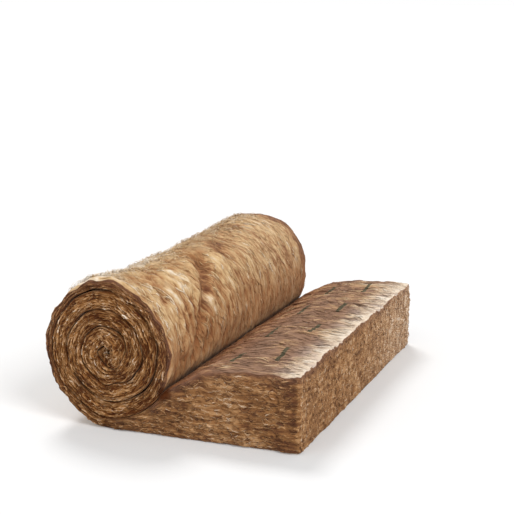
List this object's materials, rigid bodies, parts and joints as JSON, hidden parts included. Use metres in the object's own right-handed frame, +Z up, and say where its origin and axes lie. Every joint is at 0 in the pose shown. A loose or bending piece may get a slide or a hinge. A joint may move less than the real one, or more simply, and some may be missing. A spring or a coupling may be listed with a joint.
{
  "type": "insulation roll",
  "caption": "Roll of unfaced brown glass-wool insulation, partly unrolled, with its free end lying flat at full thickness and dashed cutting marks on its upper face.",
  "frame": {"origin": "on the floor, under the middle of the bounding box", "axes": "+X from the roll to the cut end, +Y across the blanket along the roll's axis, +Z up"},
  "size_m": [0.8106, 1.2, 0.4537],
  "materials": {
    "wool": "matt brown felt of glass fibres"
  },
  "bodies": {
    "root": {"wool_blanket": "wool"}
  },
  "joints": []
}
